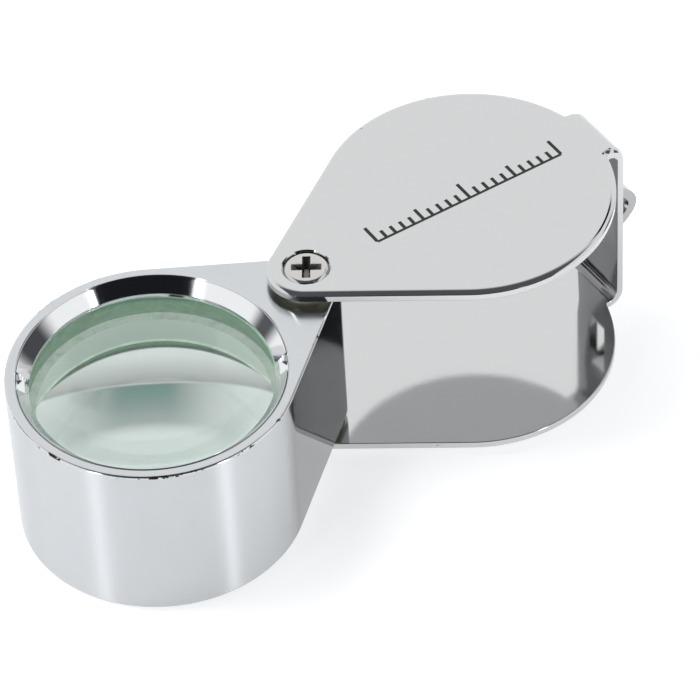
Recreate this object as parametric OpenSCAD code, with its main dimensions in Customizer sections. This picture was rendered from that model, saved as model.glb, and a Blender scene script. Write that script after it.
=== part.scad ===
// Folding hand lens: a two-lens magnifier in a pear-shaped metal housing, which
// swings on two pivot screws out of a folded sheet-metal cover.
//
// Frame: the origin is on the cover's flat underside, under the optical axis as it
// stands when the lens is folded shut. +X runs from the pivot to the end wall with
// the lanyard loop, and +Z is parallel to the pivot axis. Every piece of the lens
// unit is drawn folded shut, and swung() turns it out of the cover. Millimetres.

/* [Optics] */
// Diameter of both lenses
lens_d = 22.8; // [18:0.2:30]
// Thickness of each lens at its edge
lens_edge = 4.4; // [1:0.1:5]
// Height of the curved face above the edge
lens_bulge = 2; // [1.5:0.1:5.5]
// Air gap between the two curved faces on the axis
lens_gap = 0.7; // [0.3:0.1:4]
// Thickness of the spacer tube's wall
spacer_wall = 0.7; // [0.4:0.1:1.2]
// Play round the lenses and the spacer in the bore
lens_play = 0.05; // [0.02:0.01:0.15]

/* [Retaining rings] */
// Height of a retaining ring
ring_h = 1.6; // [1.3:0.1:3]
// How far a ring reaches outwards past the lens bore
ring_step = 0.55; // [0.4:0.05:1]
// How far a ring covers the edge of its lens
ring_cover = 0.5; // [0.4:0.05:1]
// Depth of the polished bevel inside a ring
bevel_h = 1.2; // [0.5:0.1:1.25]
// Width of the two spanner notches
notch_w = 2; // [1:0.1:3]
// Depth of the spanner notches
notch_h = 0.8; // [0.3:0.1:1]
// Turn of the notches from the housing's long axis
notch_angle = -35; // [-90:5:90]
// Play between a ring and its seat
ring_play = 0.03; // [0.01:0.01:0.1]

/* [Lens housing] */
// Wall of the barrel outside the ring seats
barrel_wall = 1; // [0.8:0.1:2]
// Distance from the barrel's outside to the pivot axis
pivot_offset = 4.4; // [3.8:0.1:8]
// Radius of the tail round the pivot
tail_r = 3; // [2.4:0.1:4.5]

/* [Cover] */
// Thickness of the sheet metal
sheet = 0.9; // [0.75:0.05:1.5]
// How far the plates stand out past the barrel
plate_margin = 0.4; // [0:0.1:2]
// How far the plates stand out past the tail
tip_margin = 0.6; // [0:0.1:2]
// Gap between the plates' round ends and the inside of the end wall
wall_gap = 0.85; // [0.3:0.05:3]
// Width of the end wall
wall_w = 6.6; // [5:0.2:12]
// Outside radius of the two bends
bend_r = 1.8; // [1.6:0.1:4]

/* [Lanyard loop] */
// Width of the loop's strip
loop_w = 2.4; // [1.6:0.1:4]
// Inside radius of the loop
loop_r = 2.3; // [1.5:0.05:4]

/* [Pivot] */
// Diameter of a pivot screw's head
head_d = 4.2; // [3.6:0.1:5]
// Diameter of the head's flat top
head_flat_d = 3.6; // [3:0.1:4]
// Drop of the head's sloping shoulder
head_drop = 0.15; // [0.05:0.05:0.3]
// Depth of the counterbore that takes the head
head_seat = 0.5; // [0.35:0.05:0.6]
// Diameter of the shoulder that the cover turns on
journal_d = 2.6; // [2:0.1:3]
// Diameter of the thread in the tail
thread_d = 2; // [1.4:0.1:2.4]
// Length of the thread
thread_h = 4.5; // [3:0.5:8]
// Length of the cross recess's arms, tip to tip
cross_d = 2.8; // [1.8:0.1:3]
// Width of the cross recess's arms
cross_w = 0.75; // [0.3:0.05:0.8]
// Depth of the cross recess
cross_h = 0.9; // [0.4:0.1:1.5]
// Turn of the cross recess from the housing's long axis
cross_angle = 51; // [0:1:89]
// Thickness of the gap between cover and housing
washer_gap = 0.75; // [0.4:0.05:1.5]
// Diameter of a pivot washer
washer_d = 5.4; // [4.4:0.1:6]
// Play round the journal and round the head
pivot_play = 0.05; // [0.02:0.01:0.1]
// Play between cover, washers and heads along the pivot axis
end_play = 0.03; // [0.01:0.01:0.1]

/* [Pose] */
// Angle that the lens is swung out of the cover, where 0 is folded shut
open_angle = 185.7; // [0:0.1:360]

/* [Hidden] */
$fn = 96;
eps = 0.01;

// Optics, from the optical axis outwards and from the eye side downwards
lens_r = lens_d / 2;
bore_r = lens_r + lens_play;
clear_r = lens_r - ring_cover;
edge_gap = 2 * lens_bulge + lens_gap;
curve_r = (lens_r * lens_r + lens_bulge * lens_bulge) / (2 * lens_bulge);
spacer_in_r = lens_r - spacer_wall;
// Height over the lens edge where the spacer's inner corner meets the curved face
spacer_rise = sqrt(curve_r * curve_r - spacer_in_r * spacer_in_r) - (curve_r - lens_bulge);
spacer_h = edge_gap - 2 * spacer_rise;

// Housing
seat_r = bore_r + ring_step;
ring_r = seat_r - ring_play;
barrel_r = seat_r + barrel_wall;
housing_h = 2 * (ring_h + lens_edge) + edge_gap;
reach = barrel_r + pivot_offset;

// Cover
plate_r = barrel_r + plate_margin;
tip_r = tail_r + tip_margin;
cover_h = housing_h + 2 * (washer_gap + sheet);
wall_in = plate_r + wall_gap;
wall_out = wall_in + sheet;
loop_x = wall_out - sheet / 2;

// Levels
housing_z = sheet + washer_gap;
mid_z = cover_h / 2;

// ---- placing ----

// Turns what is drawn folded shut out of the cover, about the pivot axis.
module swung() {
    translate([-reach, 0, 0]) rotate(open_angle) translate([reach, 0, 0]) children();
}

// Turns what is drawn for the upper side over to the lower side.
module underside() {
    translate([0, 0, cover_h]) mirror([0, 0, 1]) children();
}

// ---- outlines ----

// Pear shape: a circle of radius big on the optical axis and one of radius small
// on the pivot axis, with the two straight flanks that touch both.
module pear(big, small) {
    lean = acos((small - big) / reach);
    tangent = [cos(lean), sin(lean)];
    circle(r = big);
    translate([-reach, 0]) circle(r = small);
    polygon([
        big * tangent,
        [-reach, 0] + small * tangent,
        [-reach, 0] + small * [tangent.x, -tangent.y],
        big * [tangent.x, -tangent.y]
    ]);
}

// ---- cover ----

module cover_plate() {
    linear_extrude(sheet) pear(plate_r, tip_r);
    translate([0, -wall_w / 2, 0]) cube([wall_out - bend_r, wall_w, sheet]);
}

// Quarter-round bend from the lower plate up into the end wall.
module cover_bend() {
    translate([wall_out - bend_r, wall_w / 2, bend_r]) rotate([90, 0, 0]) rotate(-90)
        rotate_extrude(angle = 90) translate([bend_r - sheet, 0]) square([sheet, wall_w]);
}

// Half ring pressed out of the end wall, with a level hole for a cord.
module lanyard_loop() {
    translate([loop_x, loop_w / 2, mid_z]) rotate([90, 0, 0]) rotate(-90)
        rotate_extrude(angle = 180) translate([loop_r, 0]) square([sheet, loop_w]);
}

// Clearance hole for the screw's shoulder, and the counterbore for its head.
module pivot_hole() {
    translate([-reach, 0, -eps]) cylinder(d = journal_d + 2 * pivot_play, h = sheet + 2 * eps);
    translate([-reach, 0, -eps]) cylinder(d = head_d + 2 * pivot_play, h = head_seat + eps);
}

module cover() {
    color("silver") difference() {
        union() {
            cover_plate();
            underside() cover_plate();
            cover_bend();
            underside() cover_bend();
            translate([wall_in, -wall_w / 2, bend_r]) cube([sheet, wall_w, cover_h - 2 * bend_r]);
            lanyard_loop();
        }
        pivot_hole();
        underside() pivot_hole();
        translate([wall_in - eps, -loop_w / 2, mid_z - loop_r])
            cube([loop_x - wall_in + eps, loop_w, 2 * loop_r]);
        translate([loop_x, loop_w / 2 + eps, mid_z]) rotate([90, 0, 0])
            cylinder(r = loop_r, h = loop_w + 2 * eps);
    }
}

// ---- lens unit ----

module lens_housing() {
    color("gainsboro") swung() difference() {
        translate([0, 0, housing_z]) linear_extrude(housing_h) pear(barrel_r, tail_r);
        translate([0, 0, housing_z - eps]) cylinder(r = bore_r, h = housing_h + 2 * eps);
        ring_seat();
        underside() ring_seat();
        tapped_hole();
        underside() tapped_hole();
    }
}

module ring_seat() {
    translate([0, 0, housing_z - eps]) cylinder(r = seat_r, h = ring_h + eps);
}

module tapped_hole() {
    translate([-reach, 0, housing_z - eps]) cylinder(d = thread_d, h = thread_h + 2 * eps);
}

// Plano-convex lens with its flat face on the lower ring and its curved face inwards.
module plano_convex() {
    color([0.8, 0.92, 0.88, 0.5]) swung() translate([0, 0, housing_z + ring_h]) intersection() {
        cylinder(r = lens_r, h = lens_edge + lens_bulge + eps);
        translate([0, 0, lens_edge + lens_bulge - curve_r]) sphere(r = curve_r);
    }
}

module field_lens() plano_convex();
module eye_lens() underside() plano_convex();

// Tube that holds the two curved faces apart by its inner corners.
module lens_spacer() {
    color("darkgray") swung() translate([0, 0, mid_z - spacer_h / 2]) difference() {
        cylinder(r = lens_r, h = spacer_h);
        translate([0, 0, -eps]) cylinder(r = spacer_in_r, h = spacer_h + 2 * eps);
    }
}

// Ring that screws into the housing's lower face: a bevel that opens downwards,
// and a short straight land against the lens.
module retaining_ring() {
    color("whitesmoke") swung() translate([0, 0, housing_z]) difference() {
        rotate_extrude() polygon([
            [ring_r, 0], [ring_r, ring_h], [clear_r, ring_h], [clear_r, bevel_h]
        ]);
        rotate(notch_angle) translate([-ring_r - 1, -notch_w / 2, -eps])
            cube([2 * ring_r + 2, notch_w, notch_h + eps]);
    }
}

module field_ring() retaining_ring();
module eye_ring() underside() retaining_ring();

// ---- pivot ----

// Cross-recessed screw from below: flush head, plain shoulder, thread in the tail.
module pivot_screw() {
    shoulder = head_seat - end_play;
    color("lightgray") swung() translate([-reach, 0, 0]) difference() {
        union() {
            translate([0, 0, end_play])
                cylinder(d1 = head_flat_d, d2 = head_d, h = head_drop);
            translate([0, 0, end_play + head_drop])
                cylinder(d = head_d, h = shoulder - end_play - head_drop);
            translate([0, 0, shoulder]) cylinder(d = journal_d, h = housing_z - shoulder);
            translate([0, 0, housing_z]) cylinder(d = thread_d, h = thread_h);
        }
        intersection() {
            rotate(cross_angle) for (turn = [0, 90]) rotate(turn)
                translate([-cross_d / 2, -cross_w / 2, end_play - eps])
                    cube([cross_d, cross_w, cross_h + eps]);
            translate([0, 0, end_play - eps])
                cylinder(d1 = cross_d, d2 = 2 * cross_w, h = cross_h + eps);
        }
    }
}

module pivot_screw_bottom() pivot_screw();
module pivot_screw_top() underside() pivot_screw();

module pivot_washer() {
    color("darkkhaki") swung() translate([-reach, 0, sheet + end_play]) difference() {
        cylinder(d = washer_d, h = washer_gap - end_play);
        translate([0, 0, -eps])
            cylinder(d = journal_d + 2 * pivot_play, h = washer_gap + 2 * eps);
    }
}

module pivot_washer_bottom() pivot_washer();
module pivot_washer_top() underside() pivot_washer();

// ---- nodes ----

cover();
lens_housing();
eye_lens();
field_lens();
lens_spacer();
eye_ring();
field_ring();
pivot_screw_top();
pivot_screw_bottom();
pivot_washer_top();
pivot_washer_bottom();
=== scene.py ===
import math

import bmesh
import bpy
import numpy as np
from mathutils import Matrix, Vector


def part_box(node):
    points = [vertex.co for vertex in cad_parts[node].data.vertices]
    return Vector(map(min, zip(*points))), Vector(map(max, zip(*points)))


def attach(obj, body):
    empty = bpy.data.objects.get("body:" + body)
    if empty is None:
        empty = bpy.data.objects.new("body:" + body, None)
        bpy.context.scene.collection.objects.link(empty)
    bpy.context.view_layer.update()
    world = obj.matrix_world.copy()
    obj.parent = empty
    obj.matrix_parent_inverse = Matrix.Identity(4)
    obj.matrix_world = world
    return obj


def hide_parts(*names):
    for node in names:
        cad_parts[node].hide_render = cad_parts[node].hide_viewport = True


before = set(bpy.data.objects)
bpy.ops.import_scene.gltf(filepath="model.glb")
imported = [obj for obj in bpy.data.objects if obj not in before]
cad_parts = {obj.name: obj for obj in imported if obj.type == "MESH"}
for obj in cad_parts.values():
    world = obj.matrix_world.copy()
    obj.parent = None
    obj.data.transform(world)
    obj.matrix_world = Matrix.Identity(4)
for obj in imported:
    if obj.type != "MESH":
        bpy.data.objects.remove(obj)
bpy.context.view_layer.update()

# ---------------------------------------------------------------------------
# Camera. It looks down at the open lens from in front of it and a little to the
# left, from far enough away that the two plates show almost in parallel.
# ---------------------------------------------------------------------------
MM = 0.001
axle = sum(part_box("pivot_washer_top"), Vector()) / 2
aim = Vector((axle.x + 2.63 * MM, axle.y - 2.44 * MM, 10 * MM))
distance = 415.1 * MM
heading = math.radians(59.16)
drop = math.radians(44.9)
roll = math.radians(3.05)
sight = Vector((
    math.cos(heading) * math.cos(drop),
    math.sin(heading) * math.cos(drop),
    -math.sin(drop),
))
camera = bpy.data.objects.new("camera", bpy.data.cameras.new("camera"))
bpy.context.scene.collection.objects.link(camera)
bpy.context.scene.camera = camera
camera.data.sensor_width = 36
camera.data.lens = 235.85
camera.data.clip_start = 0.01
camera.data.clip_end = 20
turned = sight.to_track_quat("-Z", "Y").to_matrix().to_4x4() @ Matrix.Rotation(-roll, 4, "Z")
camera.matrix_world = Matrix.Translation(aim - sight * distance) @ turned


# ---------------------------------------------------------------------------
# Floor. A white acrylic table. The open lens lies on the tip of its cover and on
# the far edge of its housing, so the table is tilted a little in the part's frame.
# ---------------------------------------------------------------------------
def linear(hex_colour):
    """sRGB hex to linear red, green and blue, with alpha 1."""
    value = np.array([int(hex_colour[k:k + 2], 16) for k in (1, 3, 5)]) / 255
    straight, curved = value / 12.92, ((value + 0.055) / 1.055) ** 2.4
    return (*np.where(value <= 0.04045, straight, curved).tolist(), 1.0)


def add(tree, kind, inputs=(), **settings):
    """Adds one node. Each input is (name or number, value or output socket)."""
    node = tree.nodes.new(kind)
    for name, value in settings.items():
        setattr(node, name, value)
    for name, value in inputs:
        if isinstance(value, bpy.types.NodeSocket):
            tree.links.new(value, node.inputs[name])
        else:
            node.inputs[name].default_value = value
    return node


def new_material(name):
    """An empty node material and its output node."""
    material = bpy.data.materials.new(name)
    material.use_nodes = True
    material.node_tree.nodes.clear()
    return material, material.node_tree, material.node_tree.nodes.new("ShaderNodeOutputMaterial")


TABLE_HALF = 2.5
tip_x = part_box("cover")[0].x
far_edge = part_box("lens_housing")[0]
lean = math.atan2(far_edge.z, tip_x - far_edge.x)

# Opal acrylic on a light box: a matt white body that glows evenly from below, so
# shadows stay faint.
table_white, tree, out = new_material("opal_acrylic_light_table")
shader = add(tree, "ShaderNodeBsdfPrincipled", [
    ("Base Color", linear("#cfcfd0")),
    ("Roughness", 0.6),
    ("Specular IOR Level", 0.1),
    ("Emission Color", linear("#fdfeff")),
    ("Emission Strength", 0.6),
])
tree.links.new(shader.outputs[0], out.inputs[0])

floor_mesh = bpy.data.meshes.new("table")
floor_mesh.from_pydata(
    [
        (tip_x + sx * TABLE_HALF, sy * TABLE_HALF, -sx * TABLE_HALF * math.tan(lean))
        for sx, sy in ((-1, -1), (1, -1), (1, 1), (-1, 1))
    ],
    [],
    [(0, 1, 2, 3)],
)
floor_mesh.materials.append(table_white)
table = bpy.data.objects.new("table", floor_mesh)
bpy.context.scene.collection.objects.link(table)

# ---------------------------------------------------------------------------
# Light. A white tent with a grey canopy that rises behind the camera and passes over
# the table, darkest low down, with a small dark flag past its end. Two tall strip lamps
# stand beside it, and grey panels stand low on two other sides.
# ---------------------------------------------------------------------------
world = bpy.data.worlds.new("tent")
bpy.context.scene.world = world
world.use_nodes = True
tree = world.node_tree
tree.nodes.clear()
look = add(tree, "ShaderNodeTexCoord").outputs["Generated"]
level = add(tree, "ShaderNodeVectorMath", [(0, look), (1, (1, 1, 0))], operation="MULTIPLY")
level = add(tree, "ShaderNodeVectorMath", [(0, level.outputs[0])], operation="NORMALIZE")
height = add(tree, "ShaderNodeSeparateXYZ", [(0, look)]).outputs["Z"]


def band(value, low_edge, high_edge, soft):
    """1 between the two edges and 0 outside them, with soft shoulders."""
    masks = []
    for edge, sign in ((low_edge, 1), (high_edge, -1)):
        masks.append(add(tree, "ShaderNodeMapRange", [
            ("Value", value),
            ("From Min", edge - sign * soft),
            ("From Max", edge + sign * soft),
        ], interpolation_type="SMOOTHSTEP").outputs[0])
    return add(tree, "ShaderNodeMath", [(0, masks[0]), (1, masks[1])], operation="MULTIPLY").outputs[0]


def panel(facing, half_width, low_angle, high_angle, soft):
    """Mask of a panel of the tent: heading, half width, lower and upper edge, in degrees."""
    toward = (math.cos(math.radians(facing)), math.sin(math.radians(facing)), 0)
    facing_by = add(tree, "ShaderNodeVectorMath", [
        (0, level.outputs[0]), (1, toward),
    ], operation="DOT_PRODUCT").outputs["Value"]
    angle = add(tree, "ShaderNodeMath", [(0, facing_by)], operation="ARCCOSINE").outputs[0]
    across = band(angle, -1, math.radians(half_width), math.radians(soft))
    up = band(height, math.sin(math.radians(low_angle)), math.sin(math.radians(high_angle)), 0.03)
    return add(tree, "ShaderNodeMath", [(0, across), (1, up)], operation="MULTIPLY").outputs[0]


canopy_turn = math.radians(59.16)
right_way = (math.sin(canopy_turn), -math.cos(canopy_turn), 0)
near_way = (-math.cos(canopy_turn), -math.sin(canopy_turn), 0)
across = add(tree, "ShaderNodeVectorMath", [
    (0, look), (1, right_way),
], operation="DOT_PRODUCT").outputs["Value"]
across = add(tree, "ShaderNodeMath", [(0, across)], operation="ARCSINE").outputs[0]
near = add(tree, "ShaderNodeVectorMath", [
    (0, look), (1, near_way),
], operation="DOT_PRODUCT").outputs["Value"]
along = add(tree, "ShaderNodeMath", [(0, height), (1, near)], operation="ARCTAN2").outputs[0]


def canopy(left, right, low_angle, high_angle, soft):
    """Mask of a panel that runs from the near side of the table up over it: its left and
    right edges, then its start and end as heights over the near horizon, in degrees."""
    sides = band(across, math.radians(left), math.radians(right), math.radians(1.2))
    ends = [
        add(tree, "ShaderNodeMapRange", [
            ("Value", along),
            ("From Min", math.radians(edge - width)),
            ("From Max", math.radians(edge + width)),
            ("To Min", float(falls)),
            ("To Max", 1.0 - falls),
        ], interpolation_type="SMOOTHSTEP").outputs[0]
        for edge, width, falls in ((low_angle, 2, 0), (high_angle, soft, 1))
    ]
    mask = add(tree, "ShaderNodeMath", [(0, sides), (1, ends[0])], operation="MULTIPLY").outputs[0]
    return add(tree, "ShaderNodeMath", [(0, mask), (1, ends[1])], operation="MULTIPLY").outputs[0]


TENT_LIGHT = 1.15
colour = add(tree, "ShaderNodeRGB").outputs[0]
colour.default_value = linear("#fdfdfe")
for mask, shade in (
    (canopy(-31, 37, 26, 114, 11), "#5a5b60"),
    (canopy(-29, 35, 26, 62, 12), "#1a1b1e"),
    (canopy(20, 33, 122, 137, 3), "#1c1d20"),
    (panel(345, 17, 3, 30, 9), "#4a4b4e"),
    (panel(137, 9, 3, 26, 6), "#5a5b5e"),
):
    colour = add(tree, "ShaderNodeMixRGB", [
        ("Fac", mask),
        ("Color1", colour),
        ("Color2", linear(shade)),
    ]).outputs[0]
power = TENT_LIGHT
for facing, half_width, strength in ((196, 3, 6.0), (286, 3, 7.5)):
    lamp = panel(facing, half_width, 2, 60, 0.5)
    power = add(tree, "ShaderNodeMath", [
        (0, lamp), (1, strength), (2, power),
    ], operation="MULTIPLY_ADD").outputs[0]
background = add(tree, "ShaderNodeBackground", [("Color", colour), ("Strength", power)])
out = tree.nodes.new("ShaderNodeOutputWorld")
tree.links.new(background.outputs[0], out.inputs[0])
bpy.context.scene.view_settings.view_transform = "Standard"

# A soft box high on the far left lights the table, and no polished face mirrors it.
box_light = bpy.data.lights.new("soft_box", "AREA")
box_light.size = 0.5
box_light.energy = 6.0
soft_box = bpy.data.objects.new("soft_box", box_light)
soft_box.visible_glossy = False
soft_box.visible_transmission = False
soft_box.location = (-0.35, 0.35, 0.9)
soft_box.rotation_euler = (-Vector(soft_box.location)).to_track_quat("-Z", "Y").to_euler()
bpy.context.scene.collection.objects.link(soft_box)

# ---------------------------------------------------------------------------
# Cover. One strip of 0.9 mm sheet steel, blanked to two pear shapes, rounded on
# its outer edges by tumbling, bent twice, and plated with nickel and chromium. The
# lanyard loop is lanced out of the end wall.
# ---------------------------------------------------------------------------
SHEET = 0.9
PLATE_R = 13.4
TIP_R = 3.6
REACH = -axle.x / MM
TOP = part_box("cover")[1].z / MM
# The upper plate stops this far below the top, so the enamel can stand proud of it.
SKIN = 0.02
STRAP = 3.3
BEND_R = 1.8
WALL_OUT = 15.15
TAB_END = WALL_OUT - BEND_R
LOOP_HALF = 1.2
LOOP_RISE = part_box("cover")[1].x / MM - WALL_OUT
LOOP_FOOT = 3.5
ROLL_IN = 0.74
ROLL_DOWN = 0.26
BURR = 0.08
HOLE_R = 1.35
POCKET_R = 2.15
POCKET_H = 0.5
FILLET_R = 0.25
# Strength of the painted shade on the strap's inner faces.
INNER_PAINTED_SHADE = 0.85
WORN_TO = 11.5


def make_piece(name, grids, materials):
    """One closed mesh from grids of points in mm.

    Each grid is a dict: points (rows, columns, 3), wrap_rows and wrap_cols for the
    directions that close on themselves, skip (a mask of quads to leave out), wear,
    inside and turned (rows, columns) from 0 to 1 for worn edges, painted shade on
    inner faces and lathe-polished sides, uv (rows, columns, 2), and slot."""
    points, quads, slots, uvs = [], [], [], []
    marks = {"wear": [], "inside": [], "turned": []}
    start = 0
    for grid in grids:
        p = np.asarray(grid["points"], float)
        rows, cols = p.shape[:2]
        index = np.arange(rows * cols).reshape(rows, cols) + start
        i = np.arange(rows if grid.get("wrap_rows") else rows - 1)
        j = np.arange(cols if grid.get("wrap_cols") else cols - 1)
        a, b = np.meshgrid(i, j, indexing="ij")
        c, d = (a + 1) % rows, (b + 1) % cols
        quad = np.stack([index[a, b], index[a, d], index[c, d], index[c, b]], -1)
        uv = np.asarray(grid.get("uv", np.zeros((rows, cols, 2))), float)
        corner = np.stack([uv[a, b], uv[a, d], uv[c, d], uv[c, b]], -2)
        keep = ~grid["skip"][a, b] if "skip" in grid else np.ones(a.shape, bool)
        quads.append(quad[keep])
        uvs.append(corner[keep].reshape(-1, 2))
        slots.append(np.full(len(quads[-1]), grid.get("slot", 0)))
        points.append(p.reshape(-1, 3))
        for mark, values in marks.items():
            values.append(np.broadcast_to(grid.get(mark, 0.0), (rows, cols)).reshape(-1))
        start += rows * cols
    points, quads = np.concatenate(points) * MM, np.concatenate(quads)
    used, quads = np.unique(quads, return_inverse=True)
    quads = quads.reshape(-1, 4)
    mesh = bpy.data.meshes.new(name)
    mesh.from_pydata(points[used].tolist(), [], quads.tolist())
    for mark, values in marks.items():
        field = mesh.attributes.new(mark, "FLOAT", "POINT")
        field.data.foreach_set("value", np.concatenate(values)[used])
    mesh.uv_layers.new(name="around").data.foreach_set("uv", np.concatenate(uvs).reshape(-1))
    mesh.polygons.foreach_set("material_index", np.concatenate(slots).astype(np.int32))
    shape = bmesh.new()
    shape.from_mesh(mesh)
    bmesh.ops.remove_doubles(shape, verts=shape.verts, dist=2e-7)
    bmesh.ops.recalc_face_normals(shape, faces=shape.faces)
    shape.to_mesh(mesh)
    shape.free()
    mesh.polygons.foreach_set("use_smooth", np.ones(len(mesh.polygons), bool))
    mesh.set_sharp_from_angle(angle=math.radians(32))
    for material in materials:
        mesh.materials.append(material)
    piece = bpy.data.objects.new(name, mesh)
    bpy.context.scene.collection.objects.link(piece)
    return piece


def arc(start, stop, count):
    """Angles in radians from start to stop, given in degrees, both ends included."""
    return np.radians(np.linspace(start, stop, count))


def rim(width, fall, corner, thick, steps):
    """Edge of a sheet from its outer face to its inner face, as (inset, height): a
    curve that falls as its run to the power 2.2, the straight edge, and a small
    quarter circle."""
    a, b = np.linspace(0, 1, steps), arc(0, 90, 4)
    outer = np.stack([width * (1 - a), thick - fall * a ** 2.2], -1)
    inner = np.stack([corner * (1 - np.cos(b)), corner * (1 - np.sin(b))], -1)
    return np.concatenate([outer, inner])


def sheet_outline():
    """Edge of one plate from tab corner to tab corner, as points and outward normals:
    tab side, relief fillet, round end, flank, tip, and the same again mirrored."""
    centre_x = math.sqrt((PLATE_R + FILLET_R) ** 2 - (STRAP + FILLET_R) ** 2)
    turn = math.degrees(math.atan2(STRAP + FILLET_R, centre_x))
    lean_angle = math.degrees(math.acos((TIP_R - PLATE_R) / REACH))
    sweep = arc(90, turn, 7)
    fillet_n = np.stack([np.cos(sweep), np.sin(sweep)], -1)
    fillet_p = np.array([centre_x, STRAP + FILLET_R]) - FILLET_R * fillet_n
    sweep = arc(turn, lean_angle, 90)[1:]
    round_n = np.stack([np.cos(sweep), np.sin(sweep)], -1)
    sweep = arc(lean_angle, 180, 48)
    tip_n = np.stack([np.cos(sweep), np.sin(sweep)], -1)
    tip_p = np.array([-REACH, 0]) + TIP_R * tip_n
    flank = np.linspace(0, 1, 14)[1:-1, None]
    flank_p = PLATE_R * round_n[-1] * (1 - flank) + tip_p[0] * flank
    side_p = np.array([[TAB_END, STRAP]])
    p = np.concatenate([side_p, fillet_p, PLATE_R * round_n, flank_p, tip_p])
    n = np.concatenate([[[0, 1]], fillet_n, round_n, np.repeat(tip_n[:1], len(flank_p), 0), tip_n])
    mirror = np.array([1, -1])
    return np.concatenate([p, p[-2::-1] * mirror]), np.concatenate([n, n[-2::-1] * mirror])


EDGE = rim(ROLL_IN, ROLL_DOWN, BURR, SHEET, 14)
edge_p, edge_n = sheet_outline()
# The tab's end carries on into the strap, so its points match the strap's section.
joint_p = np.array([[TAB_END, -LOOP_HALF], [TAB_END, LOOP_HALF]])
outline_n = np.concatenate([edge_n, np.zeros((2, 2))])
outline_p = np.concatenate([edge_p, joint_p])
bearing = np.arctan2(outline_p[:, 1], outline_p[:, 0] + REACH)
hole_n = np.stack([np.cos(bearing), np.sin(bearing)], -1)
hole_c = np.array([-REACH, 0])


def plate_rows():
    """Rows of a plate from the hole's inner mouth, up the hole and its counterbore,
    out over the outer face, down the edge, and back along the inner face."""
    rows, worn = [], []
    chamfer = 0.1
    for radius, level in (
        (HOLE_R, 0), (HOLE_R, SHEET - POCKET_H), (POCKET_R, SHEET - POCKET_H),
        (POCKET_R, SHEET - chamfer), (POCKET_R + chamfer, SHEET), (POCKET_R + 0.16, SHEET),
    ):
        rows.append(np.concatenate([hole_c + radius * hole_n, np.full((len(hole_n), 1), level)], 1))
        worn.append(0.0)
    for inset, level in [(ROLL_IN + 0.06, SHEET), *EDGE, (BURR + 0.05, 0)]:
        inset_p = outline_p - inset * outline_n
        rows.append(np.concatenate([inset_p, np.full((len(inset_p), 1), level)], 1))
        worn.append(float(0.05 < level < SHEET - 0.03))
    rows.append(np.concatenate([hole_c + (HOLE_R + 0.1) * hole_n, np.zeros((len(hole_n), 1))], 1))
    worn.append(0.0)
    return np.array(rows), np.array(worn)


rows, worn = plate_rows()
first_edge = 7
skip = np.zeros(rows.shape[:2], bool)
skip[first_edge:first_edge + len(EDGE) - 1, len(edge_p) - 1:] = True
plate = dict(
    points=rows,
    wear=worn[:, None] * (outline_p[:, 0] < WORN_TO),
    skip=skip,
    wrap_rows=True,
    wrap_cols=True,
)
under = (rows[:, :1, 2] < 0.01) & (np.arange(len(rows))[:, None] > first_edge)


def section(low_y, high_y):
    """Closed section of the strap between two cuts, as (y, height over inner face).
    An end at the strap's own edge is rounded, and one at a lanced cut is square."""
    top, bottom = [], []
    if high_y == STRAP:
        top += [(STRAP - inset, level) for inset, level in EDGE]
    else:
        top += [(high_y, SHEET), (high_y, 0)]
    if low_y == -STRAP:
        bottom += [(inset - STRAP, level) for inset, level in EDGE[::-1]]
    else:
        bottom += [(low_y, 0), (low_y, SHEET)]
    cuts = [y for y in (LOOP_HALF, -LOOP_HALF) if low_y < y < high_y]
    return np.array(top + [(y, 0) for y in cuts] + bottom + [(y, SHEET) for y in cuts[::-1]])


def carry(profile, base, normal):
    """Carries a section along a path: each point is base + height * normal, at its y."""
    y = np.broadcast_to(profile[None, :, 0], (len(base), len(profile)))
    x = base[:, None, 0] + profile[None, :, 1] * normal[:, None, 0]
    z = base[:, None, 1] + profile[None, :, 1] * normal[:, None, 1]
    # Painted shade on the strap's inner face.
    inside = INNER_PAINTED_SHADE * (profile[None, :, 1] < 0.01)
    return dict(points=np.stack([x, y, z], -1), inside=inside, wrap_cols=True)


middle = TOP / 2
foot = middle + LOOP_FOOT
outer = TOP - SKIN
bend = arc(0, 90, 22)
bend_n = np.stack([np.sin(bend), np.cos(bend)], -1)
bend_b = np.array([TAB_END, outer - BEND_R]) + (BEND_R - SHEET) * bend_n
strap_b = np.concatenate([bend_b, [[WALL_OUT - SHEET, foot + 1], [WALL_OUT - SHEET, foot]]])
strap_n = np.concatenate([bend_n, [[1, 0], [1, 0]]])
strap = carry(section(-STRAP, STRAP), strap_b, strap_n)
post_b = np.array([[WALL_OUT - SHEET, foot], [WALL_OUT - SHEET, 2 * middle - foot]])
posts = [carry(section(*cut), post_b, np.array([[1, 0], [1, 0]]))
         for cut in ((LOOP_HALF, STRAP), (-STRAP, -LOOP_HALF))]
# The loop's strip follows one wave of a raised cosine out of the wall and back.
z = np.linspace(foot, 2 * middle - foot, 61)
phase = math.pi * (z - middle) / LOOP_FOOT
loop_b = np.stack([WALL_OUT - SHEET + LOOP_RISE / 2 * (1 + np.cos(phase)), z], -1)
slope = -LOOP_RISE / 2 * math.pi / LOOP_FOOT * np.sin(phase)
loop_n = np.stack([np.ones_like(slope), -slope], -1)
loop_n /= np.linalg.norm(loop_n, axis=1, keepdims=True)
# Painted shade: the whole loop is marked inside at 0.4.
loop = dict(carry(section(-LOOP_HALF, LOOP_HALF), loop_b, loop_n), inside=0.4)

upper = np.array([0, 0, outer - SHEET])
flip, lift = np.array([1, 1, -1]), np.array([0, 0, TOP])
# Painted shade: the upper plate's inner face is marked inside at 0.4.
parts = [
    dict(plate, points=rows + upper, inside=0.4 * under),
    dict(plate, points=(rows + upper) * flip + lift),
    strap,
    dict(strap, points=strap["points"] * flip + lift),
    *posts,
    loop,
]


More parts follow.
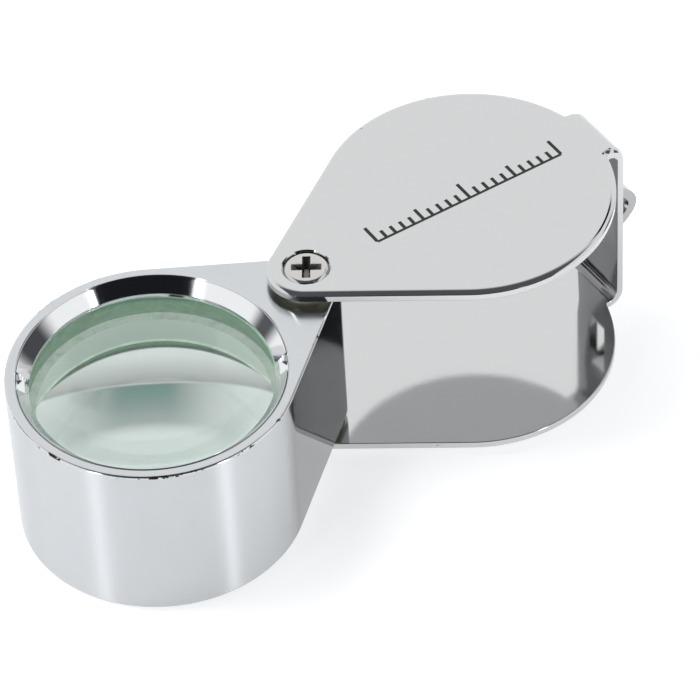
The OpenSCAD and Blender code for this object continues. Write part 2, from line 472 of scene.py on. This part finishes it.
def plated(name, tint, rough, smear=0.0, chips=0.0, scratch=0.004):
    """Bright nickel and chromium plate over polished metal.

    Reflection gives it nearly all of its look. Fine polishing marks run in short
    hairlines, the gloss varies a little, and worn edges show small dark chips. Faces
    marked inside get a darker base colour, as painted shade on inner faces under or
    between parts. The gloss varies over 2.4 mm, the chips are 0.4 mm grit in 4 mm
    patches, and the hairlines are 1.1 mm long and drawn 0.07 mm wide, several times
    their true width, to show at all."""
    material, tree, out = new_material(name)
    place = add(tree, "ShaderNodeTexCoord").outputs["Object"]
    cloud = add(tree, "ShaderNodeTexNoise", [
        ("Vector", place), ("Scale", 420.0), ("Detail", 3.0), ("Roughness", 0.55),
    ]).outputs["Fac"]
    streak = add(tree, "ShaderNodeMapping", [
        ("Vector", place), ("Scale", (900, 14000, 9000)), ("Rotation", (0, 0, 0.35)),
    ]).outputs[0]
    hair = add(tree, "ShaderNodeTexNoise", [
        ("Vector", streak), ("Scale", 1.0), ("Detail", 2.0),
    ]).outputs["Fac"]
    rough_value = add(tree, "ShaderNodeMapRange", [
        ("Value", cloud), ("From Min", 0.3), ("From Max", 0.7),
        ("To Min", rough * 0.85), ("To Max", rough * 1.15),
    ]).outputs[0]
    bump = add(tree, "ShaderNodeBump", [
        ("Height", hair), ("Strength", scratch * 10), ("Distance", 0.00002),
    ]).outputs[0]
    grit = add(tree, "ShaderNodeTexNoise", [
        ("Vector", place), ("Scale", 2600.0), ("Detail", 2.0), ("Roughness", 0.6),
    ]).outputs["Fac"]
    patch = add(tree, "ShaderNodeTexNoise", [
        ("Vector", place), ("Scale", 260.0), ("Detail", 1.0),
    ]).outputs["Fac"]
    edge = add(tree, "ShaderNodeAttribute", attribute_name="wear").outputs["Fac"]
    spots = add(tree, "ShaderNodeMath", [(0, grit), (1, patch)], operation="ADD").outputs[0]
    spots = add(tree, "ShaderNodeMath", [(0, spots), (1, edge)], operation="MULTIPLY").outputs[0]
    spots = add(tree, "ShaderNodeMapRange", [
        ("Value", spots), ("From Min", 1.26 - chips), ("From Max", 1.3 - chips),
    ]).outputs[0]
    # Painted shade: faces marked inside are mixed toward dark grey.
    painted_shade = add(tree, "ShaderNodeAttribute", attribute_name="inside").outputs["Fac"]
    base = add(tree, "ShaderNodeMixRGB", [
        ("Fac", painted_shade), ("Color1", linear(tint)), ("Color2", linear("#6e6e6f")),
    ]).outputs[0]
    base = add(tree, "ShaderNodeMixRGB", [
        ("Fac", spots), ("Color1", base), ("Color2", linear("#3a3430")),
    ]).outputs[0]
    final_rough = add(tree, "ShaderNodeMath", [
        (0, spots), (1, 0.3), (2, rough_value),
    ], operation="MULTIPLY_ADD").outputs[0]
    if smear:
        lathe = add(tree, "ShaderNodeAttribute", attribute_name="turned").outputs["Fac"]
        final_rough = add(tree, "ShaderNodeMath", [
            (0, lathe), (1, smear - rough), (2, final_rough),
        ], operation="MULTIPLY_ADD").outputs[0]
    shader = add(tree, "ShaderNodeBsdfPrincipled", [
        ("Base Color", base),
        ("Metallic", 1.0),
        ("Roughness", final_rough),
        ("Anisotropic", 1.0 if smear else 0.0),
        ("Anisotropic Rotation", 0.25),
        ("Normal", bump),
    ])
    if smear:
        tangent = add(tree, "ShaderNodeTangent", direction_type="UV_MAP", uv_map="around")
        tree.links.new(tangent.outputs[0], shader.inputs["Tangent"])
    tree.links.new(shader.outputs[0], out.inputs[0])
    return material


# Chromium on polished nickel: a cool pale grey mirror, slightly softened by tumbling.
cover_plate = plated("chrome_plate_on_sheet_steel", "#c8c9c9", 0.06, chips=-0.08)
cover = make_piece("sheet_cover", parts, [cover_plate])
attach(cover, "cover")
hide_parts("cover")

# ---------------------------------------------------------------------------
# Scale. A plain millimetre scale of twenty divisions, engraved along the upper
# plate and filled with black enamel.
# ---------------------------------------------------------------------------
SCALE_START = -10.4
DIVISIONS = 20
HALF_LINE = 0.16
BASE_LOW = -1.08
BASE_HIGH = -0.82
TICK_FOOT = -0.9
ENGRAVED = 0.08


def bar(x0, x1, y0, y1, z0, z1):
    """A closed block: its four sides as one grid, and a lid and a base of two rows."""
    ring = np.array([(x0, y0), (x1, y0), (x1, y1), (x0, y1)], float)
    inner = ring * 0 + ring.mean(0)
    rows = [(inner, z1), (ring, z1), (ring, z0), (inner, z0)]
    return np.array([np.concatenate([r, np.full((4, 1), z)], 1) for r, z in rows])


cut_floor = outer - ENGRAVED
bars = [bar(SCALE_START, SCALE_START + DIVISIONS, BASE_LOW, BASE_HIGH, cut_floor, TOP - 0.008)]
for k in range(DIVISIONS + 1):
    tick = 2.1 if k % 10 == 0 else 1.55 if k % 5 == 0 else 1.0
    x = SCALE_START + k
    bars.append(bar(x - HALF_LINE, x + HALF_LINE, TICK_FOOT, TICK_FOOT + tick, cut_floor, TOP - 0.004))

# Enamel: stoved black paint wiped into the engraving, matt with a soft sheen and specks
# of 0.2 mm.
enamel, tree, out = new_material("stoved_black_enamel")
place = add(tree, "ShaderNodeTexCoord").outputs["Object"]
speck = add(tree, "ShaderNodeTexNoise", [
    ("Vector", place), ("Scale", 5000.0), ("Detail", 2.0),
]).outputs["Fac"]
ink = add(tree, "ShaderNodeMixRGB", [
    ("Fac", speck), ("Color1", linear("#060607")), ("Color2", linear("#151517")),
]).outputs[0]
shader = add(tree, "ShaderNodeBsdfPrincipled", [("Base Color", ink), ("Roughness", 0.5)])
tree.links.new(shader.outputs[0], out.inputs[0])
grids = [dict(points=block, wrap_cols=True) for block in bars]
scale = make_piece("engraved_scale", grids, [enamel])
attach(scale, "cover")

# ---------------------------------------------------------------------------
# Housing. Turned and milled from brass bar to a pear shape, bored for the lenses,
# polished round its side, and plated like the cover.
# ---------------------------------------------------------------------------
BARREL_R = 13.0
TAIL_R = 3.0
HOUSING_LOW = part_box("lens_housing")[0].z / MM
HOUSING_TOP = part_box("lens_housing")[1].z / MM
optic = sum(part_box("eye_lens"), Vector()) / 2 / MM
swing = math.degrees(math.atan2(optic.y, optic.x + REACH))
SEAT_R = 12.0
BORE_R = 11.45
RING_H = 1.6
GROOVE = 0.12
SOFT = 0.22
LATHE_END = 123
LATHE_FADE = 8
# Strength of the painted shade on the housing's flanks.
FLANK_PAINTED_SHADE = 0.75


def swung(points):
    """Turns points drawn folded shut, about the pivot, to where the lens stands open."""
    a = math.radians(swing)
    x, y = points[..., 0] + REACH, points[..., 1]
    turned_x = x * math.cos(a) - y * math.sin(a) - REACH
    return np.stack([turned_x, x * math.sin(a) + y * math.cos(a), points[..., 2]], -1)


def pear(big, small):
    """Points and outward normals of a pear outline: big arc, flank, small arc, flank."""
    lean_angle = math.degrees(math.acos((small - big) / REACH))
    a, b = arc(-lean_angle, lean_angle, 161), arc(lean_angle, 360 - lean_angle, 41)
    n_big, n_small = np.stack([np.cos(a), np.sin(a)], -1), np.stack([np.cos(b), np.sin(b)], -1)
    p_big, p_small = big * n_big, np.array([-REACH, 0]) + small * n_small
    t = np.linspace(0, 1, 17)[1:-1, None]
    first = p_big[-1] * (1 - t) + p_small[0] * t
    last = p_small[-1] * (1 - t) + p_big[0] * t
    p = np.concatenate([p_big, first, p_small, last])
    n = np.concatenate([n_big, np.repeat(n_big[-1:], len(t), 0), n_small, np.repeat(n_big[:1], len(t), 0)])
    return p, n


side_p, side_n = pear(BARREL_R, TAIL_R)
bearing = np.arctan2(side_p[:, 1], side_p[:, 0])
bore_n = np.stack([np.cos(bearing), np.sin(bearing)], -1)
length = np.concatenate([[0], np.cumsum(np.linalg.norm(np.diff(side_p, axis=0), axis=1))])
quarter = arc(0, 90, 7)
tall = HOUSING_TOP - HOUSING_LOW
side_rows = [(SOFT + 0.08, tall)]
side_rows += [(SOFT * (1 - math.sin(a)), tall - SOFT * (1 - math.cos(a))) for a in quarter]
side_rows += [(0, tall - SOFT - 0.1), (0, SOFT + 0.1)]
side_rows += [(SOFT * (1 - math.cos(a)), SOFT * (1 - math.sin(a))) for a in quarter]
side_rows += [(SOFT + 0.08, 0)]
bore_rows = [
    (SEAT_R + 0.25, 0), (SEAT_R + GROOVE, 0), (SEAT_R, GROOVE), (SEAT_R, RING_H), (BORE_R, RING_H),
    (BORE_R, tall - RING_H), (SEAT_R, tall - RING_H), (SEAT_R, tall - GROOVE),
    (SEAT_R + GROOVE, tall), (SEAT_R + 0.25, tall),
]
rows, worn, uv = [], [], []
for inset, level in side_rows:
    rows.append(np.concatenate([side_p - inset * side_n, np.full((len(side_p), 1), level)], 1))
    worn.append(1.0 if SOFT * 0.9 > inset and (level > tall - SOFT * 1.2) else 0.0)
    uv.append(np.stack([length, np.full(len(length), level)], -1))
for radius, level in bore_rows:
    rows.append(np.concatenate([radius * bore_n, np.full((len(bore_n), 1), level)], 1))
    worn.append(0.0)
    uv.append(np.stack([length, np.full(len(length), level)], -1))
rows = swung(np.array(rows) + np.array([0, 0, HOUSING_LOW]))

# Chromium on brass. The barrel was polished on a lathe, and its fine rings smear each
# lamp up and down. The flanks, which the lathe can't reach, are flatter, and their
# colour is painted darker, as painted shade.
housing_plate = plated("chrome_plate_on_turned_brass", "#c9ccce", 0.08, smear=0.31, chips=0.1)
from_nose = np.degrees(np.abs(np.arctan2(side_p[:, 1], side_p[:, 0])))
barrel = np.clip((LATHE_END - from_nose) / LATHE_FADE, 0, 1)
wall = np.array([float(inset == 0) for inset, level in side_rows] + [0.0] * len(bore_rows))
lid = np.array([float(level == tall and inset > 0.1) for inset, level in side_rows]
               + [float(level == tall) for radius, level in bore_rows])
housing = make_piece("pear_housing", [dict(
    points=rows,
    wear=np.array(worn)[:, None],
    turned=np.maximum(wall[:, None] * barrel[None, :], 0.35 * lid[:, None]),
    # Painted shade on the flanks.
    inside=FLANK_PAINTED_SHADE * wall[:, None] * (1 - barrel[None, :]),
    uv=np.array(uv) * 0.02,
    wrap_rows=True,
    wrap_cols=True,
)], [housing_plate])
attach(housing, "lens_unit")
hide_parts("lens_housing")

# ---------------------------------------------------------------------------
# Retaining rings. Turned from brass with a polished bevel, plated, and screwed in
# over each lens with a pin spanner that fits the two notches.
# ---------------------------------------------------------------------------
RING_R = 11.97
CLEAR_R = 10.9
BEVEL_H = 1.2
NOTCH_W = 2.0
NOTCH_H = 0.8
NOTCH_TURN = -35.0


def over(points):
    """Turns what is drawn for the upper side over to the lower side of the housing."""
    return points * np.array([1, 1, -1]) + np.array([0, 0, HOUSING_LOW + HOUSING_TOP])


def ring_grid():
    """Ring by (profile, angle): its bevel is cut down to the notch floor within the
    notch's half width, with walls 0.05 mm wide."""
    half_turn = NOTCH_W / 2 / RING_R
    edge = np.array([-0.03, 0.0, 0.03])
    near = np.radians(NOTCH_TURN) + np.concatenate([edge - half_turn, edge + half_turn])
    sweep = np.linspace(0, 2 * np.pi, 288, endpoint=False)
    cuts = np.concatenate([near, near + np.pi]) % (2 * np.pi)
    sweep = np.sort(np.concatenate([sweep, cuts]))
    away = np.abs((sweep - np.radians(NOTCH_TURN) + np.pi / 2) % np.pi - np.pi / 2)
    inside = np.clip((half_turn - away) * RING_R / 0.05 + 0.5, 0, 1)
    bevel = np.linspace(0, 1, 13)[1:-1]
    lip_r, lip_h = RING_R - 0.09, 0.03
    radius = np.concatenate([
        [RING_R, RING_R - 0.06, lip_r],
        lip_r - bevel * (lip_r - CLEAR_R),
        [CLEAR_R, CLEAR_R, CLEAR_R + 0.3, RING_R, RING_R],
    ])
    depth = np.concatenate([
        [0.12, 0.0, lip_h],
        lip_h + bevel * (BEVEL_H - lip_h),
        [BEVEL_H, RING_H, RING_H, RING_H, BEVEL_H],
    ])
    level = np.maximum(depth[:, None], NOTCH_H * inside[None, :])
    x, y = radius[:, None] * np.cos(sweep), radius[:, None] * np.sin(sweep)
    return np.stack([x, y, HOUSING_TOP - level], -1)


# Chromium on a fine turned bevel: the brightest mirror on the piece.
ring_plate = plated("chrome_plate_on_polished_brass", "#dfe1e2", 0.06, scratch=0.002)
for name, node, placed in (
    ("bevel_ring_eye", "eye_ring", lambda p: p), ("bevel_ring_field", "field_ring", over),
):
    grid = dict(points=swung(placed(ring_grid())), wrap_rows=True, wrap_cols=True)
    ring = make_piece(name, [grid], [ring_plate])
    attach(ring, "lens_unit")
    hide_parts(node)

# ---------------------------------------------------------------------------
# Lenses. Two plano-convex lenses of crown glass, flat sides out. The faces are
# polished, and the edges are left ground, which shows pale green through the glass.
# ---------------------------------------------------------------------------
LENS_R = 11.4
LENS_EDGE = 4.4
LENS_BULGE = 2.0
SEAT_WIDTH = 0.9
CHIP = 0.18
FACE_R = 10.85


def turned_piece(profile, count=160):
    """A profile of (radius, level) points carried once round the optical axis."""
    sweep = np.linspace(0, 2 * np.pi, count, endpoint=False)
    r, z = profile[:, None, 0], profile[:, None, 1]
    return np.stack([r * np.cos(sweep), r * np.sin(sweep), z + 0 * sweep], -1)


curve_r = (LENS_R ** 2 + LENS_BULGE ** 2) / (2 * LENS_BULGE)
flat_face = np.array([(r, 0.0) for r in (0, 4, 8, 10.5, FACE_R - 0.03, FACE_R)])
ground = np.array([
    (FACE_R, 0), (FACE_R + 0.03, 0), (LENS_R - CHIP, 0), (LENS_R, CHIP), (LENS_R, CHIP + 0.05),
    (LENS_R, LENS_EDGE - 0.2), (LENS_R, LENS_EDGE - 0.15), (LENS_R - 0.15, LENS_EDGE),
])


def curved(radii):
    """Profile of the curved face: a circle's arc that meets the edge's end."""
    level = np.sqrt(curve_r ** 2 - radii ** 2) - (curve_r - LENS_BULGE) + LENS_EDGE
    return np.stack([radii, level], -1)


seat = np.concatenate([ground[-1:], curved(np.linspace(LENS_R - 0.2, LENS_R - SEAT_WIDTH, 7))])
dome = curved(np.linspace(LENS_R - SEAT_WIDTH, 0, 40))

# Crown glass: clear, with the faint green of its iron seen where it is thick.
glass_tint = linear("#93cbc4")
glass_density = 6.0
crown, tree, out = new_material("polished_crown_glass")
shader = add(tree, "ShaderNodeBsdfPrincipled", [
    ("Base Color", linear("#fbfffd")),
    ("Roughness", 0.0),
    ("IOR", 1.52),
    ("Transmission Weight", 1.0),
])
tree.links.new(shader.outputs[0], out.inputs[0])
depth = add(tree, "ShaderNodeVolumeAbsorption", [("Color", glass_tint), ("Density", glass_density)])
tree.links.new(depth.outputs[0], out.inputs["Volume"])

# Crown glass with painted shadow. A dark blue-green patch with a straight edge like a
# blade's is painted on part of the field lens's outer face, as painted shadow for the
# shade on the table under the lens. A thin grey painted shade starts at the same edge
# and fades towards the rim.
BLADE_NEAR = 6.5
BLADE_FAR = 6.9
SHADOW_SHIFT = 1.0 * MM
shadow_turn = math.radians(59)
shadow_x = optic.x * MM - SHADOW_SHIFT * math.sin(shadow_turn)
shadow_y = optic.y * MM + SHADOW_SHIFT * math.cos(shadow_turn)
shadow_painted_glass, tree, out = new_material("crown_glass_with_painted_shadow")
place = add(tree, "ShaderNodeTexCoord").outputs["Object"]
blade = add(tree, "ShaderNodeMapping", [
    ("Vector", place), ("Location", (shadow_x, shadow_y, 0)), ("Rotation", (0, 0, shadow_turn)),
], vector_type="TEXTURE").outputs[0]
blade = add(tree, "ShaderNodeSeparateXYZ", [("Vector", blade)])
ahead = blade.outputs["X"]
aside = add(tree, "ShaderNodeMath", [(0, blade.outputs["Y"])], operation="ABSOLUTE").outputs[0]
painted_shadow = 1.0
for value, start, stop in (
    (ahead, BLADE_FAR, BLADE_NEAR), (ahead, 1.8, 3.0), (ahead, -8, 6.0), (aside, 8.5, 1.5),
):
    part = add(tree, "ShaderNodeMapRange", [
        ("Value", value), ("From Min", start * MM), ("From Max", stop * MM),
    ], interpolation_type="SMOOTHSTEP").outputs[0]
    painted_shadow = add(tree, "ShaderNodeMath", [(0, part), (1, painted_shadow)], operation="MULTIPLY").outputs[0]
# Painted shadow: dark blue-green where the mask is full.
painted_shadow = add(tree, "ShaderNodeMixRGB", [
    ("Fac", painted_shadow), ("Color1", linear("#fcfeff")), ("Color2", linear("#14463c")),
]).outputs[0]
bare = add(tree, "ShaderNodeMapRange", [
    ("Value", ahead), ("From Min", BLADE_NEAR * MM), ("From Max", BLADE_FAR * MM),
], interpolation_type="SMOOTHSTEP").outputs[0]
fade = add(tree, "ShaderNodeMapRange", [
    ("Value", ahead), ("From Min", BLADE_FAR * MM), ("From Max", 10.0 * MM),
]).outputs[0]
# Painted shade: grey at the edge, fading towards the rim.
painted_grey_shade = add(tree, "ShaderNodeMixRGB", [
    ("Fac", fade), ("Color1", linear("#85817f")), ("Color2", linear("#fbfaf9")),
]).outputs[0]
painted_shadow = add(tree, "ShaderNodeMixRGB", [("Fac", bare), ("Color1", painted_shadow), ("Color2", painted_grey_shade)]).outputs[0]
shader = add(tree, "ShaderNodeBsdfPrincipled", [
    ("Base Color", painted_shadow),
    ("Roughness", 0.0),
    ("IOR", 1.52),
    ("Transmission Weight", 1.0),
])
tree.links.new(shader.outputs[0], out.inputs[0])
depth = add(tree, "ShaderNodeVolumeAbsorption", [("Color", glass_tint), ("Density", glass_density)])
tree.links.new(depth.outputs[0], out.inputs["Volume"])


def ground_glass(name, dark, light, glow):
    """Diamond-ground glass left unpolished: grainy and matt, with a faint glow for the
    light that scatters inside the glass.

    The grain is drawn about 1 mm across, many times its true size, to show at all."""
    material, tree, out = new_material(name)
    place = add(tree, "ShaderNodeTexCoord").outputs["Object"]
    grain = add(tree, "ShaderNodeTexNoise", [
        ("Vector", place), ("Scale", 900.0), ("Detail", 4.0), ("Roughness", 0.65),
    ]).outputs["Fac"]
    tone = add(tree, "ShaderNodeMapRange", [
        ("Value", grain), ("From Min", 0.3), ("From Max", 0.7),
    ]).outputs[0]
    shade = add(tree, "ShaderNodeMixRGB", [
        ("Fac", tone), ("Color1", linear(dark)), ("Color2", linear(light)),
    ]).outputs[0]
    shader = add(tree, "ShaderNodeBsdfPrincipled", [
        ("Base Color", shade),
        ("Roughness", 0.7),
        ("Emission Color", linear(light)),
        ("Emission Strength", glow),
    ])
    tree.links.new(shader.outputs[0], out.inputs[0])
    return material


# The edge is fine-ground and green, and it laps half a millimetre on to the flat face,
# under the ring. The seat that the spacer bears on is coarser and paler.
ground_edge = ground_glass("fine_ground_glass_edge", "#86b093", "#a9cdb3", 0.13)
ground_seat = ground_glass("coarse_ground_glass_seat", "#b4cdbb", "#f4faf5", 0.18)
for name, node, placed, outer_face in (
    ("lens_eye", "eye_lens", lambda p: p, 0), ("lens_field", "field_lens", over, 3),
):
    grids = []
    for profile, number in ((flat_face, outer_face), (ground, 1), (seat, 2), (dome, 0)):
        points = turned_piece(profile) * np.array([1, 1, -1]) + np.array([0, 0, HOUSING_TOP - RING_H])
        grids.append(dict(points=swung(placed(points)), wrap_cols=True, slot=number))
    lens = make_piece(name, grids, [crown, ground_edge, ground_seat, shadow_painted_glass])
    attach(lens, "lens_unit")
    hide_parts(node)

# ---------------------------------------------------------------------------
# Spacer. A turned aluminium tube, bright at its two chamfered ends, that holds the
# curved faces apart inside the housing.
# ---------------------------------------------------------------------------
SPACER_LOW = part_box("lens_spacer")[0].z / MM
SPACER_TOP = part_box("lens_spacer")[1].z / MM
WALL = 0.7
NICK = 0.15
spacer_profile = np.array([
    (LENS_R - NICK, SPACER_LOW), (LENS_R, SPACER_LOW + NICK), (LENS_R, SPACER_TOP - NICK),
    (LENS_R - NICK, SPACER_TOP), (LENS_R - WALL + NICK, SPACER_TOP),
    (LENS_R - WALL, SPACER_TOP - NICK), (LENS_R - WALL, SPACER_TOP - NICK - 0.1),
    (LENS_R - WALL, SPACER_LOW + NICK + 0.1), (LENS_R - WALL, SPACER_LOW + NICK),
    (LENS_R - WALL + NICK, SPACER_LOW),
])
# Turned aluminium: fine rings of tool marks and a satin sheen. It is shaded nearly as
# matt white, with a faint glow, which stands in for the light that the ground glass on
# both sides scatters into the closed bore. The rings are 0.1 mm apart, as drawn.
satin, tree, out = new_material("turned_aluminium_satin")
place = add(tree, "ShaderNodeTexCoord").outputs["Object"]
rings = add(tree, "ShaderNodeTexWave", [
    ("Vector", place), ("Scale", 3000.0), ("Distortion", 0.4), ("Detail", 1.0),
], bands_direction="Z").outputs["Fac"]
bump = add(tree, "ShaderNodeBump", [
    ("Height", rings), ("Strength", 0.3), ("Distance", 0.00002),
]).outputs[0]
tone = add(tree, "ShaderNodeMixRGB", [
    ("Fac", rings), ("Color1", linear("#edf3ed")), ("Color2", linear("#fbfefb")),
]).outputs[0]
shader = add(tree, "ShaderNodeBsdfPrincipled", [
    ("Base Color", tone), ("Metallic", 0.05), ("Roughness", 0.5), ("Normal", bump),
    ("Emission Color", linear("#dff5e6")), ("Emission Strength", 0.18),
])
tree.links.new(shader.outputs[0], out.inputs[0])
spacer = make_piece("spacer_tube", [dict(
    points=swung(turned_piece(spacer_profile)), wrap_rows=True, wrap_cols=True)], [satin])
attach(spacer, "lens_unit")
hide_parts("lens_spacer")

# ---------------------------------------------------------------------------
# Pivot screws. Nickel-plated steel screws with a flat head, a sloping shoulder and
# a cross recess, sunk flush into the cover and screwed into the housing's tail.
# ---------------------------------------------------------------------------
HEAD_FLAT = 1.74
HEAD_R = 2.1
HEAD_TOP = 0.03
HEAD_DROP = 0.28
HEAD_LOW = 0.47
JOURNAL_R = 1.3
THREAD_R = 1.0
GAP_END = TOP - HOUSING_TOP
CROSS = 2.8
CROSS_W = 0.75
CROSS_H = 0.9
CROSS_TURN = 51.0

screw_profile = np.array([
    (0, HEAD_TOP), (HEAD_FLAT - 0.1, HEAD_TOP), (HEAD_FLAT, HEAD_TOP + 0.01),
    (HEAD_FLAT + 0.1, HEAD_TOP + 0.035), (HEAD_R - 0.04, HEAD_TOP + HEAD_DROP - 0.02),
    (HEAD_R, HEAD_TOP + HEAD_DROP + 0.03), (HEAD_R, HEAD_LOW), (JOURNAL_R, HEAD_LOW),
    (JOURNAL_R, GAP_END), (THREAD_R, GAP_END), (THREAD_R, GAP_END + 4.5), (0, GAP_END + 4.5),
])


def cross_cutter():
    """Two crossed blocks, each smaller at the recess's floor than at its mouth."""
    blocks = []
    corners = [(-1, -1), (1, -1), (1, 1), (-1, 1)]
    for turn in (0, 90):
        a = math.radians(CROSS_TURN + turn)
        ahead = np.array([math.cos(a), math.sin(a)])
        aside = np.array([-math.sin(a), math.cos(a)])
        rings = []
        for level, along, across in ((-0.2, 1.12, 1.1), (CROSS_H, 0.42, 0.55)):
            ring = [ahead * u * CROSS / 2 * along + aside * v * CROSS_W / 2 * across for u, v in corners]
            rings.append(np.concatenate([ring, np.full((4, 1), level)], 1))
        centre = [np.repeat(ring.mean(0)[None], 4, 0) for ring in rings]
        block = np.array([centre[0], rings[0], rings[1], centre[1]])
        block[..., 0] -= REACH
        blocks.append(block)
    return blocks


# Nickel plate on steel: a little warmer and duller than chromium, scuffed by the driver.
screw_plate = plated("nickel_plate_on_steel", "#c4c3c0", 0.14, scratch=0.02)
# Nickel in the cross recess: its walls are painted dark, as painted shade in the
# recess, and made satin.
recess_painted_shade = plated("nickel_with_painted_recess_shade", "#737271", 0.3, scratch=0.02)


def hollowed(piece, blocks):
    """Cuts the blocks out of the piece and softens the new edges."""
    cutter = make_piece("cutter", [dict(points=b, wrap_cols=True) for b in blocks], [recess_painted_shade])
    cut = piece.modifiers.new("recess", "BOOLEAN")
    cut.object = cutter
    cut.solver = "EXACT"
    cut.use_self = True
    cut.material_mode = "TRANSFER"
    bpy.context.view_layer.update()
    solid = piece.evaluated_get(bpy.context.evaluated_depsgraph_get())
    mesh = bpy.data.meshes.new_from_object(solid)
    piece.modifiers.clear()
    piece.data = mesh
    bpy.data.objects.remove(cutter)
    soft = piece.modifiers.new("edges", "BEVEL")
    soft.width = 0.03 * MM
    soft.segments = 2
    soft.angle_limit = math.radians(35)
    return piece


for name, node, placed in (
    ("screw_upper", "pivot_screw_top", lambda p: p * np.array([1, 1, -1]) + np.array([0, 0, TOP])),
    ("screw_lower", "pivot_screw_bottom", lambda p: p),
):
    body = turned_piece(screw_profile, 96)
    body[..., 0] -= REACH
    screw = make_piece(name, [dict(points=swung(placed(body)), wrap_cols=True)], [screw_plate])
    hollowed(screw, [swung(placed(block)) for block in cross_cutter()])
    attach(screw, "lens_unit")
    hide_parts(node)

# ---------------------------------------------------------------------------
# Pivot washers. Stamped bronze washers in the gaps between the cover and the
# housing, which take the rubbing and keep the swing stiff.
# ---------------------------------------------------------------------------
WASHER_R = 2.7
WASHER_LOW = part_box("pivot_washer_bottom")[0].z / MM
WASHER_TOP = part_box("pivot_washer_bottom")[1].z / MM
SOFT_W = 0.12
HOLE_PLAY = 0.05
washer_profile = np.array([
    (JOURNAL_R + HOLE_PLAY, WASHER_LOW), (WASHER_R - SOFT_W, WASHER_LOW),
    (WASHER_R - 0.03, WASHER_LOW + 0.04), (WASHER_R, WASHER_LOW + SOFT_W),
    (WASHER_R, WASHER_TOP - SOFT_W), (WASHER_R - 0.03, WASHER_TOP - 0.04),
    (WASHER_R - SOFT_W, WASHER_TOP), (JOURNAL_R + HOLE_PLAY, WASHER_TOP),
])
# Bronze: satin and a little brown with oil, in stains about 0.8 mm across.
bronze, tree, out = new_material("oiled_bronze")
place = add(tree, "ShaderNodeTexCoord").outputs["Object"]
stain = add(tree, "ShaderNodeTexNoise", [
    ("Vector", place), ("Scale", 1200.0), ("Detail", 3.0),
]).outputs["Fac"]
tone = add(tree, "ShaderNodeMixRGB", [
    ("Fac", stain), ("Color1", linear("#a29c86")), ("Color2", linear("#bfb9a2")),
]).outputs[0]
shader = add(tree, "ShaderNodeBsdfPrincipled", [
    ("Base Color", tone), ("Metallic", 1.0), ("Roughness", 0.45),
])
tree.links.new(shader.outputs[0], out.inputs[0])
for name, node, placed in (
    ("washer_upper", "pivot_washer_top", over), ("washer_lower", "pivot_washer_bottom", lambda p: p),
):
    points = turned_piece(washer_profile, 72)
    points[..., 0] -= REACH
    grid = dict(points=swung(placed(points)), wrap_rows=True, wrap_cols=True)
    washer = make_piece(name, [grid], [bronze])
    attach(washer, "lens_unit")
    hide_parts(node)
